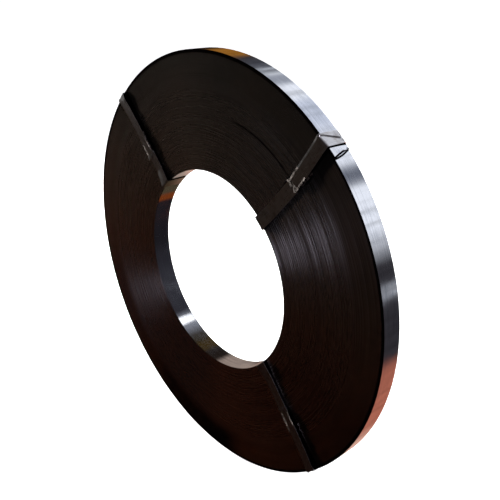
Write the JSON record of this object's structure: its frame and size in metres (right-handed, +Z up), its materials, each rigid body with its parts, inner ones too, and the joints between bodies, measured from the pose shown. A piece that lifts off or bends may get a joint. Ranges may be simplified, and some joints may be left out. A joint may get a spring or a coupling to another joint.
{
  "type": "coil of steel strip",
  "caption": "A wound coil of narrow dark cold-rolled steel strip with a bright rim, bound by thin steel straps with lapped joints",
  "frame": {"origin": "on the floor, under the middle of the coil", "axes": "+Z up, +Y along the coil's axis away from the front end, +X to the right seen from the front"},
  "size_m": [0.4177, 0.023, 0.4178],
  "materials": {
    "strip_steel": "oiled",
    "strap_steel": "satin"
  },
  "bodies": {
    "root": {"coil": "strip_steel", "strap_upper_right": "strap_steel", "strap_upper_left": "strap_steel", "strap_lower_right": "strap_steel"}
  },
  "joints": []
}
